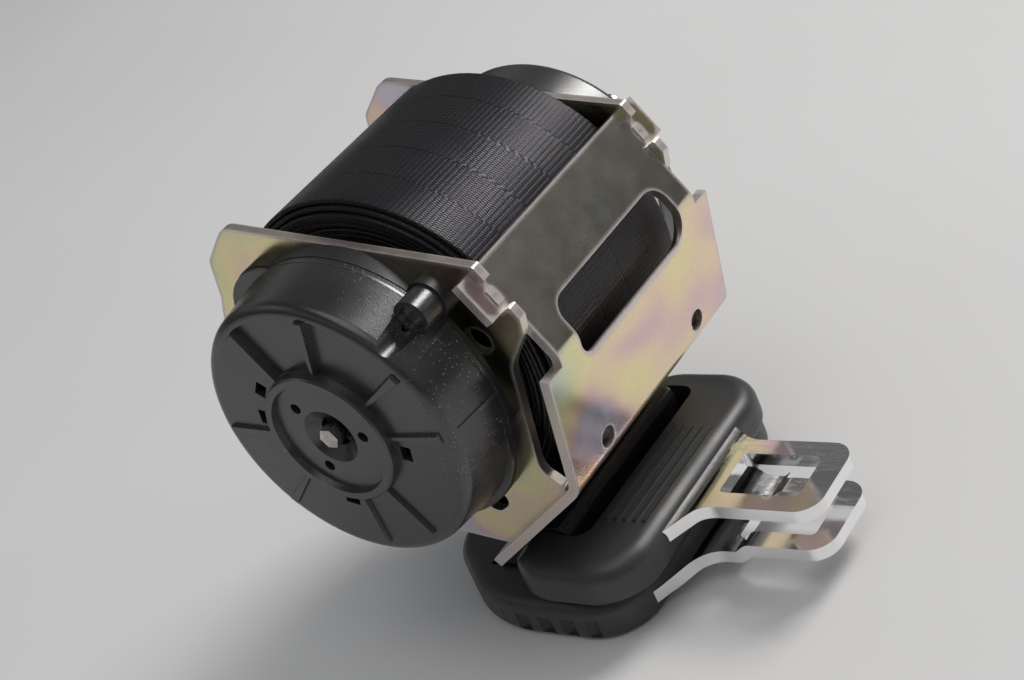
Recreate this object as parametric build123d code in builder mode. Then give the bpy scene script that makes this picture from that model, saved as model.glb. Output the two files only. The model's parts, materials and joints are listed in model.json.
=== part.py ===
from build123d import *
import os
from math import acos, atan2, copysign, cos, degrees, hypot, radians, sin

# Seat belt retractor: webbing on a sprung spool between two steel side plates,
# a folded mounting bracket, a sliding tongue and an end tongue under it.
# Millimetres. The spool turns about the X axis, Z is up, the tongues point to -Y.
# Places are polar about the spool axis or measured along the folded bracket.

# Clearances
run_gap = 0.05
free_gap = 0.3

# Webbing and spool
web_width = 47.0
web_thick = 1.2
roll_radius = 36.5
core_radius = 12.0
spool_flange_radius = 20.0
spool_flange_thick = 1.4
spool_end_gap = 1.0
shaft_radius = 5.0
bush_radius = 8.0
bush_flange = 1.2
bush_flange_thick = 0.6
anchor_radius = 2.0
anchor_wall = 1.4

# Frame
sheet = 2.0
plate_gap = web_width + 6.6
base_radius = 31.3
fold_past_roll = 7.0
fold_past_base = 12.2
fold_y = -max(roll_radius + fold_past_roll, base_radius + fold_past_base)
fold_z = 3.6
bridge_lean = radians(26.6)
flange_lean = radians(10.7)
lip_drop = radians(35.4)
bridge_length = 22.4
flange_length = 29.0
lip_length = 35.7
bend_radius = 2.8
flange_overhang = 4.9
ear_overhang = 5.7
ear_start = 13.3
shoulder_drop = 2.2
window_width = web_width - 6.4
window_above = 7.6
window_below = 6.05
window_corner = 4.0
flange_hole_radius = 2.25
flange_hole_offset = 18.8
flange_hole_drop = 25.2
collar_height = 1.2
collar_wall = 1.1
plate_rim_radius = roll_radius + 2.7
plate_rim_angles = (30, -29, -88)
plate_top_corners = ((roll_radius - 13.2, roll_radius - 0.4), (roll_radius - 4.9, roll_radius - 7.9))
plate_neck = ((fold_y + 15.2, -21.8), (fold_y + 10.1, 2.9), (fold_y + 3.8, 10.2))
plate_corner_radius = 4.5
plate_seat = 1.8
plate_notch = 5.0
plate_hole_place = (fold_y + 15.1, 8.8)
plate_hole_radius = 2.9
plate_slot_place = (-13.5, -30.3)
plate_slot_turn = -30
plate_slot = (6.0, 4.6)
tenon_start = 14.6
tenon_length = 3.4
plate_hook = 19.7
lip_tenon_start = 8.2
lip_tenon_length = 7.4

# Spring side
base_thick = 1.8
base_rim_wall = 1.7
base_rim_height = 2.0
base_flat = base_radius - 4.2
base_flat_angle = 163
base_roof = 1.2
base_lugs = ((12.0, base_radius + 2.7, 53), (24.0, base_radius + 1.3, -135))
cover_radius = base_radius - 0.2
cover_face_radius = cover_radius - 1.6
cover_wall = 1.5
cover_depth = 15.7
cover_edge_radius = 2.3
cover_lip = 1.4
hub_radius = 14.6
hub_ring_width = 1.3
hub_height = 2.2
hub_sink = 1.3
hub_cup_radius = 6.1
hub_eye_radius = 3.4
hub_cup_depth = 1.9
hub_hole_circle = 8.5
hub_hole_radius = 1.2
hub_hole_angles = (50, 178, 302)
cover_slot_circle = 16.9
cover_slot = (2.4, 3.4)
cover_slot_angles = (12, 37, 194, 285)
sector_depth = 0.9
rib_height = 0.8
rib_inner_width = 1.3
rib_outer_width = 2.6
rib_angles = (60, 104, 150, 180, 242, 272, 320, 1)
wall_rib_angles = (150.5, 179.5)
wall_rib_width = 0.9
wall_rib_height = 0.5
screw_radius = 1.5
screw_head_rim = 1.0
screw_head_height = 1.8
screw_seat = 2.0
screw_tube_radius = 3.7
screw_tube_wall = 1.1
screw_tube_place = (base_radius + 0.7, 140.2)
screw_tube_length = 5.2
hex_radius = 2.3
arbor_radius = 6.5
spring_strip = 0.7
spring_turns = 5
spring_width = 9.0

# Locking side, laid out inside the housing
housing_radius = 29.6
housing_wall = 1.5
ratchet_clear = 12.6
ratchet_tooth = 2.6
ratchet_radius = housing_radius - ratchet_clear
ratchet_root = ratchet_radius - ratchet_tooth
ratchet_thick = 3.0
ratchet_teeth = 12
ratchet_phase = 25.3
ratchet_seat = 11.3
ratchet_ramp = 25.0
pawl_clear = 7.1
pawl_pivot = (housing_radius - pawl_clear, -25.0)
pawl_tip_angle = 21
pawl_swing = 10.0
pawl_boss = 1.6
pawl_pin_radius = 1.2
pawl_pin_arm = 9.0
pivot_radius = 2.0
lock_base_thick = 1.2
lock_cup_thick = 2.0
lock_cup_clear = 15.6
lock_cup_radius = housing_radius - lock_cup_clear
lock_lobe_wall = 2.1
lock_foot_clear = 2.3
lock_foot_reach = housing_radius - lock_foot_clear
lock_foot_sides = (-5.2, 9.8)
lock_foot_ramp = 1.3
lock_foot_thick = 2.9
lock_turn = 18.0
lock_hub_radius = 6.0
stub_radius = 3.0
inertia_clear = 14.6
inertia_radius = housing_radius - inertia_clear
inertia_thick = 2.0
inertia_teeth = 18
far_cover_depth = 8.2
far_cover_edge = 1.8
ball_radius = 2.8
ball_rise_radius = 8.0
sensor_clear = 6.6
sensor_drop = housing_radius - sensor_clear
lever_pin_radius = 0.8
lever_reach = 8.4
lever_thick = 0.9
lever_beak = ((-3.6, lever_thick), (-4.3, 3.0), (-4.9, 2.8), (-4.6, 0))
lock_screw_angles = (60, 140, 215)
lock_boss_wall = 1.3
lock_head_rim = 1.1
lock_head_height = 1.4

# Tongues
plate_thick = 2.8
blade_width = 20.7
blade_shift = -2.3
blade_tip = fold_y - 29.4
blade_corner = 5.0
latch_window = (12.0, 17.8)
latch_window_y = fold_y - 15.0
latch_window_corner = 1.2
shoulder_width = 36.0
slot_length = web_width + 2.0
slot_shift = 0.6
slot_front = fold_y + 16.9
slot_back = fold_y + 22.9
slot_corner = 3.5
grip_length = slot_length + 17.4
grip_shift = -1.5
grip_front = fold_y + 1.7
grip_top = -43.1
grip_plan_corner = 12.0
grip_top_edge = 3.8
grip_bottom_edge = 2.2
strap_bend = 3.0
rib_pitch = 2.3
grip_rib_count = 5
grip_rib = (30.0, 1.1)
grip_rib_height = 0.5
grip_cover = 4.7
flare_start = 6.7
flare_end = 2.3
wing_start = 5.8
crank_start = 5.2
crank_end = 2.8
end_grip_top = -53.5
end_grip_parting = -57.0
end_grip_bottom = -62.5
end_grip_front = fold_y + 6.5
end_grip_side = fold_y + 42.5
end_grip_back = fold_y + 61.5
end_grip_taper = 16.5
end_grip_length = web_width + 23.0
end_grip_shift = 1.3
end_plan_radii = (12.0, 12.0, 28.0, 14.0, 14.0, 28.0)
end_top_edge = 3.0
end_bottom_edge = 2.2
end_slot_y = fold_y + 45.5
end_slot_floor = 1.6
end_step_y = fold_y - 9.9
end_step = 2.0
end_tab = 2.6
notch_start = fold_y + 39.9
notch_pitch = 5.9
notch_count = 5
notch_radius = 1.9
notch_depth = 4.4

# Layers across the frame, from the near side at -X to the far side
plate_in = plate_gap / 2
plate_out = plate_in + sheet
flange_half = plate_in + flange_overhang
ear_half = plate_in + ear_overhang
neck_half = plate_in - 0.1
base_floor = -plate_out - base_thick
cover_start = base_floor - base_rim_height
near_face = base_floor - cover_depth
ratchet_start = plate_out + 0.4
lock_web_start = ratchet_start + ratchet_thick + 0.4
lock_web_end = lock_web_start + lock_base_thick
lock_cup_start = lock_web_end + free_gap
inertia_start = lock_cup_start + lock_cup_thick + 0.6
far_face = lock_web_end + far_cover_depth


def polar(radius, angle):
    """Return the (y, z) point at a radius and an angle in degrees from +Y."""
    return (radius * cos(radians(angle)), radius * sin(radians(angle)))


def on_bridge(along, out=0.0):
    """Return the (y, z) point up the bridge from the upper fold, out from its face."""
    return (
        fold_y + along * sin(bridge_lean) - out * cos(bridge_lean),
        fold_z + along * cos(bridge_lean) + out * sin(bridge_lean),
    )


def on_flange(along, out=0.0):
    """Return the (y, z) point down the flange from the upper fold, out from its face."""
    return (
        fold_y + along * sin(flange_lean) - out * cos(flange_lean),
        fold_z - along * cos(flange_lean) - out * sin(flange_lean),
    )


def on_lip(along, out=0.0):
    """Return the (y, z) point along the lip from the lower fold, out from its face."""
    low_y, low_z = on_flange(flange_length)
    return (
        low_y + along * cos(lip_drop) - out * sin(lip_drop),
        low_z - along * sin(lip_drop) - out * cos(lip_drop),
    )


def turned(point, centre, angle):
    """Return a (y, z) point turned about a centre by an angle in degrees."""
    dy, dz = point[0] - centre[0], point[1] - centre[1]
    c, s = cos(radians(angle)), sin(radians(angle))
    return (centre[0] + c * dy - s * dz, centre[1] + s * dy + c * dz)


def outline(points, mode=Mode.ADD):
    """Add a polygon of (y, z) points to the open sketch, or cut it from there."""
    Polygon(*points, align=None, mode=mode)


bridge_plane = Plane((0, fold_y, fold_z), (1, 0, 0), (0, -cos(bridge_lean), sin(bridge_lean)))
flange_plane = Plane((0, fold_y, fold_z), (1, 0, 0), (0, -cos(flange_lean), -sin(flange_lean)))
parts = {}


# Side plates: flat pressings whose tenons are staked through the bracket
def tenon_slot(at, first, length, height):
    """Add a slot through the bracket's sheet, seen from the side, to the open sketch."""
    outline([at(first, height), at(first + length, height),
             at(first + length, -2 * sheet), at(first, -2 * sheet)])


def side_plate(start):
    """Return one side plate that begins at x = start."""
    first, middle, last = (polar(plate_rim_radius, angle) for angle in plate_rim_angles)
    corners = (
        last,
        on_lip(lip_length - 4.2, -sheet),
        on_lip(plate_notch, -sheet),
        *plate_neck,
        on_bridge(ear_start - 2.9, plate_seat),
        on_bridge(ear_start - run_gap, plate_seat),
        on_bridge(ear_start - run_gap, -sheet),
        on_bridge(plate_hook, -sheet),
        on_bridge(plate_hook, sheet),
        on_bridge(bridge_length + 0.5, sheet),
        *plate_top_corners,
        first,
    )
    radii = (1.0, 1.0, 4.0, 7.0, 1.5, 0.6, 0.4, 0.3, 0.3, 0.3, 0.8, plate_corner_radius, 3.0)
    with BuildPart() as plate:
        with BuildSketch(Plane.YZ.offset(start)):
            with BuildLine():
                FilletPolyline(*corners, radius=radii)
                ThreePointArc(first, middle, last)
            make_face()
            tenon_slot(on_bridge, tenon_start, tenon_length, 0.3)
            tenon_slot(on_lip, lip_tenon_start, lip_tenon_length, 0.2)
            Circle(bush_radius, mode=Mode.SUBTRACT)
            with Locations(plate_hole_place):
                Circle(plate_hole_radius, mode=Mode.SUBTRACT)
            with Locations(Location(plate_slot_place, plate_slot_turn)):
                SlotOverall(*plate_slot, mode=Mode.SUBTRACT)
        extrude(amount=sheet)
    return plate


side_plate_near = side_plate(-plate_out)
parts["side_plate_near"] = side_plate_near.part

side_plate_far = side_plate(plate_in)
with BuildPart() as far_plate:
    add(side_plate_far.part)
    with BuildSketch(Plane.YZ.offset(plate_in)):
        with Locations(polar(*pawl_pivot)):
            Circle(pivot_radius)
    extrude(amount=sheet, mode=Mode.SUBTRACT)
parts["side_plate_far"] = far_plate.part

# Mounting bracket: one folded sheet with bridge, flange and lip
with BuildPart() as mounting_bracket:
    with BuildSketch(Plane.YZ.offset(-flange_half)):
        with BuildLine():
            fold_line = FilletPolyline(
                on_bridge(bridge_length), on_bridge(0), on_flange(flange_length), on_lip(lip_length),
                radius=bend_radius + sheet,
            )
            offset(fold_line, amount=sheet, side=Side.LEFT, closed=True)
        make_face()
    extrude(amount=2 * flange_half)
    with BuildSketch(Plane.YZ.offset(-ear_half)):
        outline([
            on_bridge(ear_start), on_bridge(bridge_length),
            on_bridge(bridge_length, -sheet), on_bridge(ear_start, -sheet),
        ])
    extrude(amount=2 * ear_half)
    with BuildSketch(Plane.YZ.offset(neck_half), Plane.YZ.offset(-neck_half - ear_overhang - sheet)):
        outline([
            on_bridge(ear_start, 2 * sheet), on_bridge(ear_start, -2 * sheet),
            on_flange(shoulder_drop, -2 * sheet), on_flange(shoulder_drop, 2 * sheet),
        ])
    extrude(amount=ear_overhang + sheet, mode=Mode.SUBTRACT)
    for plane, reach in ((bridge_plane, window_above), (flange_plane, -window_below)):
        overlap = -copysign(window_corner + 0.5, reach)
        with BuildSketch(plane):
            with Locations((slot_shift, (reach + overlap) / 2)):
                RectangleRounded(window_width, abs(reach - overlap), window_corner)
        extrude(amount=3 * sheet, both=True, mode=Mode.SUBTRACT)
    with BuildSketch(flange_plane.offset(-sheet)):
        with Locations((-flange_hole_offset, -flange_hole_drop), (flange_hole_offset, -flange_hole_drop)):
            Circle(flange_hole_radius + collar_wall)
    extrude(amount=-collar_height)
    with BuildSketch(flange_plane):
        with Locations((-flange_hole_offset, -flange_hole_drop), (flange_hole_offset, -flange_hole_drop)):
            Circle(flange_hole_radius)
    extrude(amount=-sheet - 2 * collar_height, mode=Mode.SUBTRACT)
    with BuildSketch(Plane.YZ.offset(plate_in - run_gap), Plane.YZ.offset(-plate_out - run_gap)):
        tenon_slot(on_bridge, tenon_start - run_gap, tenon_length + 2 * run_gap, 3)
        tenon_slot(on_bridge, plate_hook - run_gap, bridge_length, 3)
        tenon_slot(on_lip, lip_tenon_start - run_gap, lip_tenon_length + 2 * run_gap, 3)
    extrude(amount=sheet + 2 * run_gap, mode=Mode.SUBTRACT)
parts["mounting_bracket"] = mounting_bracket.part

# Bearing bushes pressed into the side plates
for name, start in (("near_bush", -plate_out), ("far_bush", plate_in)):
    with BuildPart() as bush:
        with BuildSketch(Plane.YZ.offset(start)):
            Circle(bush_radius)
            Circle(shaft_radius + run_gap, mode=Mode.SUBTRACT)
        extrude(amount=sheet)
        with BuildSketch(Plane.YZ.offset(start + sheet if start < 0 else start - bush_flange_thick)):
            Circle(bush_radius + bush_flange)
            Circle(shaft_radius + run_gap, mode=Mode.SUBTRACT)
        extrude(amount=bush_flange_thick)
    parts[name] = bush.part

# Spool core with its two flanges
core_end = plate_in - spool_end_gap
anchor_place = (0, core_radius - anchor_wall - anchor_radius)
with BuildPart() as spool_core:
    with BuildSketch(Plane.YZ.offset(-core_end)):
        Circle(core_radius)
    extrude(amount=2 * core_end)
    with BuildSketch(Plane.YZ.offset(-core_end), Plane.YZ.offset(core_end - spool_flange_thick)):
        Circle(spool_flange_radius)
    extrude(amount=spool_flange_thick)
    with BuildSketch(Plane.YZ.offset(-core_end)):
        Circle(shaft_radius)
        with Locations(anchor_place):
            Circle(anchor_radius)
    extrude(amount=2 * core_end, mode=Mode.SUBTRACT)
parts["spool_core"] = spool_core.part

with BuildPart() as webbing_anchor_pin:
    with BuildSketch(Plane.YZ.offset(-web_width / 2)):
        with Locations(anchor_place):
            Circle(anchor_radius)
    extrude(amount=web_width)
parts["webbing_anchor_pin"] = webbing_anchor_pin.part

# Torsion shaft from the spring arbor's flats to the inertia wheel's stub
arbor_start = base_floor - 2 * free_gap
arbor_end = arbor_start - spring_width - 1.2
hex_end = near_face - hub_height + 2 * free_gap
stub_end = inertia_start + inertia_thick + 0.8
with BuildPart() as torsion_shaft:
    with BuildSketch(Plane.YZ.offset(arbor_end)):
        Circle(shaft_radius)
    extrude(amount=ratchet_start + ratchet_thick - arbor_end)
    with BuildSketch(Plane.YZ.offset(ratchet_start + ratchet_thick)):
        Circle(stub_radius)
    extrude(amount=stub_end - ratchet_start - ratchet_thick)
    with BuildSketch(Plane.YZ.offset(hex_end)):
        RegularPolygon(hex_radius, 6)
    extrude(amount=arbor_end - hex_end)
parts["torsion_shaft"] = torsion_shaft.part

# Webbing wound on the core
with BuildPart() as webbing_roll:
    with BuildSketch(Plane.YZ.offset(-web_width / 2)):
        Circle(roll_radius)
        Circle(core_radius, mode=Mode.SUBTRACT)
    extrude(amount=web_width)
parts["webbing_roll"] = webbing_roll.part

# Spring side: a moulded base on the near plate, stepped up clear of the plate's hole
tube_place = polar(*screw_tube_place)


def base_outline(inset=0.0):
    """Add the base's round outline with its two lugs, drawn in by an inset."""
    Circle(base_radius - inset)
    for radius, reach, angle in base_lugs:
        with Locations(polar(reach - radius, angle)):
            Circle(radius - inset)


def beyond_flat(reach, mode=Mode.ADD):
    """Add the side of the base that lies past its flat to the open sketch."""
    corners = [(reach, -base_radius), (2 * reach, -base_radius)]
    corners += [(2 * reach, base_radius), (reach, base_radius)]
    outline([turned(corner, (0, 0), base_flat_angle) for corner in corners], mode)


with BuildPart() as spring_base:
    with BuildSketch(Plane.YZ.offset(-plate_out)):
        base_outline()
        with Locations(tube_place):
            Circle(screw_tube_radius + 2 * free_gap)
    extrude(amount=cover_start + plate_out)
    with BuildSketch(Plane.YZ.offset(base_floor)):
        Circle(base_radius - base_rim_wall)
        beyond_flat(base_flat - base_rim_wall, Mode.SUBTRACT)
    extrude(amount=-base_rim_height, mode=Mode.SUBTRACT)
    with BuildSketch(Plane.YZ.offset(-plate_out)):
        beyond_flat(base_flat)
        with Locations(tube_place):
            Circle(screw_tube_radius + 2 * free_gap, mode=Mode.SUBTRACT)
    extrude(amount=base_roof - base_thick - base_rim_height, mode=Mode.SUBTRACT)
    with BuildSketch(Plane.YZ.offset(-plate_out)):
        Circle(bush_radius + 2 * free_gap)
        with Locations(tube_place):
            Circle(screw_radius)
    extrude(amount=cover_start + plate_out, mode=Mode.SUBTRACT)
parts["spring_base"] = spring_base.part

with BuildPart() as spring_arbor:
    with BuildSketch(Plane.YZ.offset(arbor_start)):
        Circle(arbor_radius)
        Circle(shaft_radius, mode=Mode.SUBTRACT)
    extrude(amount=-spring_width - 1.0)
parts["spring_arbor"] = spring_arbor.part

# Flat spiral spring: half turns about two centres half a pitch apart
spring_start = arbor_radius + spring_strip / 2
spring_end = base_flat - base_rim_wall - 2 * free_gap - spring_strip
spring_pitch = (spring_end - spring_start) / spring_turns
with BuildPart() as return_spring:
    with BuildSketch(Plane.YZ.offset(arbor_start - 0.5)):
        with BuildLine():
            for half in range(2 * spring_turns):
                radius = spring_start + half * spring_pitch / 2
                middle = (half % 2) * spring_pitch / 2
                CenterArc((middle, 0), radius, 180 * (half % 2), 180)
        trace(line_width=spring_strip)
    extrude(amount=-spring_width)
parts["return_spring"] = return_spring.part

# Spring cover: a drafted cup with radial ribs round a raised hub and its sunk disc
face_in = near_face + cover_wall
hub_face = near_face - hub_height
sunk_face = hub_face + hub_sink
ring_in = hub_radius - hub_ring_width - 0.5
rib_reach = cover_face_radius - cover_edge_radius
lit_sector = rib_angles[:3]


def rib(angle):
    """Add one radial rib, wider at the rim than at the hub, to the open sketch."""
    start, end = hub_radius - 1.0, rib_reach
    corners = [(start, -rib_inner_width / 2), (end, -rib_outer_width / 2)]
    corners += [(end, rib_outer_width / 2), (start, rib_inner_width / 2)]
    outline([turned(corner, (0, 0), angle) for corner in corners])


with BuildPart() as spring_cover:
    with BuildSketch(Plane.XY):
        with BuildLine():
            FilletPolyline(
                (cover_start, cover_radius), (near_face, cover_face_radius),
                (near_face, hub_radius + 0.3), (hub_face + 0.4, hub_radius), (hub_face, hub_radius - 0.4),
                (hub_face, ring_in), (sunk_face, ring_in - 0.4), (sunk_face, hub_cup_radius),
                (sunk_face + hub_cup_depth, hub_eye_radius), (face_in, hub_eye_radius),
                (face_in, cover_face_radius - cover_wall), (cover_start, cover_radius - cover_wall),
                radius=(0, cover_edge_radius, 0, 0, 0, 0, 0, 0, 0, 0, 0, 0), close=True,
            )
        make_face()
    revolve(axis=Axis.X)
    with BuildSketch(Plane.YZ.offset(cover_start)):
        base_outline(free_gap)
        Circle(cover_radius - cover_wall / 2, mode=Mode.SUBTRACT)
    extrude(amount=-cover_lip)
    with BuildSketch(Plane.YZ.offset(near_face)):
        Circle(rib_reach)
        Circle(hub_radius + 0.4, mode=Mode.SUBTRACT)
        with BuildSketch(Plane.YZ.offset(near_face), mode=Mode.INTERSECT):
            outline([(0, 0), *(polar(2 * cover_radius, angle) for angle in lit_sector)])
    extrude(amount=sector_depth, mode=Mode.SUBTRACT)
    with BuildSketch(Plane.YZ.offset(near_face + sector_depth)):
        for angle in rib_angles:
            rib(angle)
    extrude(amount=-sector_depth - rib_height, taper=14)
    # Two of the ribs run on down the wall
    for angle in wall_rib_angles:
        side = Plane((0, 0, 0), (1, 0, 0), (0, -sin(radians(angle)), cos(radians(angle))))
        with BuildSketch(side):
            outline([
                (near_face + 0.5, cover_face_radius - cover_edge_radius),
                (near_face + cover_edge_radius, cover_face_radius + wall_rib_height),
                (cover_start, cover_radius + wall_rib_height), (cover_start, cover_radius - cover_wall / 2),
                (near_face + cover_edge_radius, cover_face_radius - cover_wall / 2),
            ])
        extrude(amount=wall_rib_width / 2, both=True)
    # Screw tube beside the wall, with a driver channel to the face
    with BuildSketch(Plane.YZ.offset(near_face - 1)):
        with Locations(tube_place):
            Circle(screw_tube_radius - 0.5)
    extrude(amount=cover_start - screw_tube_length - near_face + 1, mode=Mode.SUBTRACT)
    with BuildSketch(Plane.YZ.offset(cover_start)):
        with Locations(tube_place):
            Circle(screw_tube_radius)
    extrude(amount=-screw_tube_length)
    with BuildSketch(Plane.YZ.offset(cover_start - screw_seat)):
        with Locations(tube_place):
            Circle(screw_tube_radius - screw_tube_wall)
    extrude(amount=-screw_tube_length, mode=Mode.SUBTRACT)
    with BuildSketch(Plane.YZ.offset(cover_start)):
        with Locations(tube_place):
            Circle(screw_radius)
    extrude(amount=-screw_tube_length, mode=Mode.SUBTRACT)
    # Spring hook holes in the hub and moulding windows outside it
    with BuildSketch(Plane.YZ.offset(hub_face)):
        for angle in hub_hole_angles:
            with Locations(polar(hub_hole_circle, angle)):
                Circle(hub_hole_radius)
        for angle in cover_slot_angles:
            with Locations(Location((*polar(cover_slot_circle, angle), 0), angle)):
                Rectangle(*cover_slot)
    extrude(amount=face_in - hub_face + 1, mode=Mode.SUBTRACT)
parts["spring_cover"] = spring_cover.part

with BuildPart() as spring_cover_screw:
    with BuildSketch(Plane.YZ.offset(cover_start - screw_seat)):
        with Locations(tube_place):
            Circle(screw_radius + screw_head_rim)
    extrude(amount=-screw_head_height)
    with BuildSketch(Plane.YZ.offset(cover_start - screw_seat)):
        with Locations(tube_place):
            Circle(screw_radius)
    extrude(amount=screw_seat + base_rim_height + base_thick)
parts["spring_cover_screw"] = spring_cover_screw.part

# Ratchet wheel keyed on the shaft, its teeth steep against pay-out
with BuildPart() as ratchet_wheel:
    with BuildSketch(Plane.YZ.offset(ratchet_start)):
        Circle(ratchet_radius)
        with BuildSketch(Plane.YZ.offset(ratchet_start), mode=Mode.SUBTRACT):
            for tooth in range(ratchet_teeth):
                outline([turned(corner, (0, 0), tooth * 360 / ratchet_teeth) for corner in (
                    polar(ratchet_root, ratchet_phase - ratchet_seat),
                    polar(ratchet_root, ratchet_phase),
                    polar(ratchet_radius + 1.5, ratchet_phase - 0.7),
                    polar(ratchet_radius + 1.5, ratchet_phase - ratchet_seat - ratchet_ramp),
                )])
        Circle(shaft_radius, mode=Mode.SUBTRACT)
    extrude(amount=ratchet_thick)
parts["ratchet_wheel"] = ratchet_wheel.part

# Locking pawl on its pin in the far plate, held off the ratchet at rest
pivot = polar(*pawl_pivot)
tip = polar(ratchet_radius + 1.4, pawl_tip_angle)
tip_turn = degrees(atan2(tip[1] - pivot[1], tip[0] - pivot[0]))
pawl_length = hypot(tip[0] - pivot[0], tip[1] - pivot[1])
pawl_pin = turned((pivot[0] + pawl_pin_arm, pivot[1]), pivot, tip_turn)
pawl_pin_half = turned(pawl_pin, pivot, pawl_swing / 2)
pawl_pin_in = turned(pawl_pin, pivot, pawl_swing)
with BuildPart() as locking_pawl:
    with BuildSketch(Plane.YZ.offset(ratchet_start)):
        with Locations(pivot):
            Circle(pivot_radius + pawl_boss)
        outline([turned((pivot[0] + a, pivot[1] + b), pivot, tip_turn) for a, b in (
            (0, -3.4), (pawl_pin_arm, -2.8), (pawl_length + 0.4, -1.2), (pawl_length + 0.6, 0.8),
            (pawl_length - 1.6, 0.3), (pawl_length - 3.4, -0.6), (pawl_pin_arm, -0.4), (0, 2.6))])
        with Locations(pivot):
            Circle(pivot_radius + run_gap, mode=Mode.SUBTRACT)
    extrude(amount=ratchet_thick)
    with BuildSketch(Plane.YZ.offset(ratchet_start + ratchet_thick)):
        with Locations(pawl_pin):
            Circle(pawl_pin_radius)
    extrude(amount=lock_cup_start + lock_cup_thick - ratchet_start - ratchet_thick)
parts["locking_pawl"] = locking_pawl.part

with BuildPart() as pawl_pivot_pin:
    with BuildSketch(Plane.YZ.offset(plate_in)):
        with Locations(pivot):
            Circle(pivot_radius)
    extrude(amount=lock_web_start - plate_in)
parts["pawl_pivot_pin"] = pawl_pivot_pin.part

# Lock base: web with a hub for the lock cup, closed by a rim on the far plate
screw_circle = housing_radius - housing_wall - screw_radius - lock_boss_wall + 0.2
with BuildPart() as lock_base:
    with BuildSketch(Plane.YZ.offset(plate_out)):
        Circle(housing_radius)
        Circle(housing_radius - housing_wall, mode=Mode.SUBTRACT)
        for angle in lock_screw_angles:
            with Locations(polar(screw_circle, angle)):
                Circle(screw_radius + lock_boss_wall)
    extrude(amount=lock_web_start - plate_out)
    with BuildSketch(Plane.YZ.offset(lock_web_start)):
        Circle(housing_radius)
    extrude(amount=lock_base_thick)
    with BuildSketch(Plane.YZ.offset(lock_web_end)):
        Circle(lock_hub_radius)
    extrude(amount=free_gap + lock_cup_thick + 0.1)
    with BuildSketch(Plane.YZ.offset(plate_out)):
        Circle(stub_radius + free_gap)
        for angle in lock_screw_angles:
            with Locations(polar(screw_circle, angle)):
                Circle(screw_radius)
    extrude(amount=20, mode=Mode.SUBTRACT)
    with BuildSketch(Plane.YZ.offset(lock_web_start)):
        with Locations(pawl_pin, pawl_pin_in):
            Circle(pawl_pin_radius + free_gap)
        with BuildLine():
            ThreePointArc(pawl_pin, pawl_pin_half, pawl_pin_in)
        trace(line_width=2 * (pawl_pin_radius + free_gap))
    extrude(amount=lock_base_thick, mode=Mode.SUBTRACT)
parts["lock_base"] = lock_base.part

# Lock cup: a lobe with the cam slot that swings the pawl, and the ball sensor's seat
cam_half = turned(pawl_pin_half, (0, 0), lock_turn / 2)
cam_end = turned(pawl_pin_in, (0, 0), lock_turn)
sensor_y, sensor_z = 0.0, -sensor_drop
foot_floor = -lock_foot_reach
foot_back, foot_front = lock_foot_sides
lever_pivot = (lever_reach, sensor_z + ball_radius + 0.6)
ball_x = far_face - housing_wall - free_gap - ball_radius


def cam_slot(radius, mode=Mode.ADD):
    """Add the path of the pawl's pin through the cup, a radius wide to each side, or cut it."""
    with BuildSketch(mode=Mode.PRIVATE) as slot:
        with Locations(pawl_pin, cam_end):
            Circle(radius)
        with BuildLine():
            ThreePointArc(pawl_pin, cam_half, cam_end)
        trace(line_width=2 * radius)
    add(slot.sketch, mode=mode)


with BuildPart() as lock_cup:
    with BuildSketch(Plane.YZ.offset(lock_cup_start)):
        Circle(lock_cup_radius)
        cam_slot(pawl_pin_radius + lock_lobe_wall)
        outline([polar(lock_hub_radius, -50), pawl_pin, cam_half, cam_end, polar(lock_hub_radius, 60)])
        outline([(foot_back, -lock_hub_radius), (foot_back, foot_floor),
                 (foot_front, foot_floor + lock_foot_ramp), (foot_front, -lock_hub_radius)])
        Circle(lock_hub_radius + run_gap, mode=Mode.SUBTRACT)
        cam_slot(pawl_pin_radius + free_gap / 2, Mode.SUBTRACT)
    extrude(amount=lock_cup_thick)
    with BuildSketch(Plane.YZ.offset(ball_x - 3.4)):
        outline([
            (foot_back, foot_floor), (foot_front, foot_floor + lock_foot_ramp),
            (foot_front, foot_floor + lock_foot_thick), (foot_back, foot_floor + lock_foot_thick),
        ])
    extrude(amount=2 * ball_radius + 0.4)
    with Locations((ball_x, sensor_y, sensor_z + ball_rise_radius - ball_radius)):
        Sphere(ball_rise_radius + run_gap, mode=Mode.SUBTRACT)
    with BuildSketch(Plane.YZ.offset(lock_cup_start + lock_cup_thick)):
        with Locations(lever_pivot):
            Circle(lever_pin_radius)
    extrude(amount=inertia_start + inertia_thick - lock_cup_start - lock_cup_thick)
parts["lock_cup"] = lock_cup.part

with BuildPart() as sensor_ball:
    with Locations((ball_x, sensor_y, sensor_z)):
        Sphere(ball_radius)
parts["sensor_ball"] = sensor_ball.part

lever_z = sensor_z + ball_radius + 0.1
with BuildPart() as sensor_lever:
    with BuildSketch(Plane.YZ.offset(inertia_start)):
        outline([(lever_reach, lever_z), (lever_reach, lever_z + lever_thick),
                 *((y, lever_z + z) for y, z in lever_beak)])
        with Locations(lever_pivot):
            Circle(lever_pin_radius + 0.7)
            Circle(lever_pin_radius + run_gap, mode=Mode.SUBTRACT)
    extrude(amount=inertia_thick)
parts["sensor_lever"] = sensor_lever.part

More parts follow.
